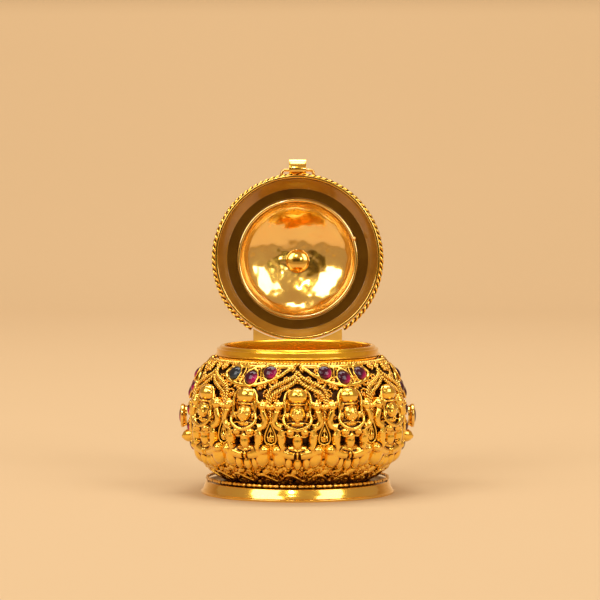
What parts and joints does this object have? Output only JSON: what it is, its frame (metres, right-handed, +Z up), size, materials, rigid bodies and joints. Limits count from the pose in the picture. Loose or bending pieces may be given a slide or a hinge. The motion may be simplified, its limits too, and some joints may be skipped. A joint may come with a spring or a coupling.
{
  "type": "sindoor box",
  "caption": "Small round gilt vermilion box on a ring foot, with cast seated figures round the belly, stone settings, and a hinged domed lid with a swinging hasp, shown open.",
  "frame": {"origin": "centre of the flat base plate's underside, on the bowl's axis", "axes": "+Z up along the bowl's axis, -Y towards the front, +Y towards the hinge, +X to the right as seen from the front"},
  "size_m": [0.059, 0.075, 0.0813],
  "materials": {
    "polished_gold": "polished gilding",
    "antique_gold": "matt gilding with dark recesses",
    "shaded_gold": "dull gilding",
    "ruby": "polished cabochon",
    "blue_grey_stone": "polished cabochon"
  },
  "bodies": {
    "body": {"bowl_shell": "antique_gold", "foot_ring": "polished_gold", "base_plate": "shaded_gold", "foot_milled_wire": "antique_gold", "petal_band": "antique_gold", "neck_collar": "polished_gold", "neck_rope_wire": "antique_gold", "figure_1": "antique_gold", "figure_2": "antique_gold", "figure_3": "antique_gold", "figure_4": "antique_gold", "figure_5": "antique_gold", "figure_6": "antique_gold", "figure_7": "antique_gold", "figure_8": "antique_gold", "figure_9": "antique_gold", "figure_10": "antique_gold", "leaf_setting_1": "polished_gold", "leaf_setting_2": "polished_gold", "leaf_setting_3": "polished_gold", "leaf_setting_4": "polished_gold", "shoulder_stone_1": "ruby", "shoulder_stone_2": "ruby", "shoulder_stone_3": "blue_grey_stone", "shoulder_stone_4": "ruby", "shoulder_stone_5": "ruby", "shoulder_stone_6": "ruby", "shoulder_stone_7": "ruby", "shoulder_stone_8": "ruby", "shoulder_stone_9": "ruby", "shoulder_stone_10": "ruby", "shoulder_stone_11": "ruby", "shoulder_stone_12": "ruby", "side_setting_left": "antique_gold", "side_setting_right": "antique_gold", "medallion_left": "polished_gold", "medallion_right": "polished_gold", "medallion_stone_left": "ruby", "medallion_stone_right": "ruby", "body_hinge_leaf": "antique_gold", "hinge_pin": "polished_gold"},
    "lid": {"lid_hinge_leaf": "antique_gold", "lid_shell": "polished_gold", "lid_dome": "polished_gold", "lid_rope_wire": "antique_gold", "lid_petal_band": "antique_gold", "lid_leaf_1": "polished_gold", "lid_leaf_2": "polished_gold", "lid_leaf_3": "polished_gold", "lid_leaf_4": "polished_gold", "lid_stone_1": "ruby", "lid_stone_2": "ruby", "lid_stone_3": "ruby", "lid_stone_4": "ruby", "finial": "polished_gold", "hasp_wire": "antique_gold"},
    "hasp": {"hasp": "polished_gold"}
  },
  "joints": [
    {"name": "lid_hinge", "type": "hinge", "parent": "body", "child": "lid", "pos_m": [0, 0.0223, 0.0346], "axis": [-1, 0, 0], "range_deg": [-98, 0]},
    {"name": "hasp_swing", "type": "hinge", "parent": "lid", "child": "hasp", "pos_m": [0, 0.03078, 0.0785], "axis": [-1, 0, 0], "range_deg": [0, 115]}
  ]
}
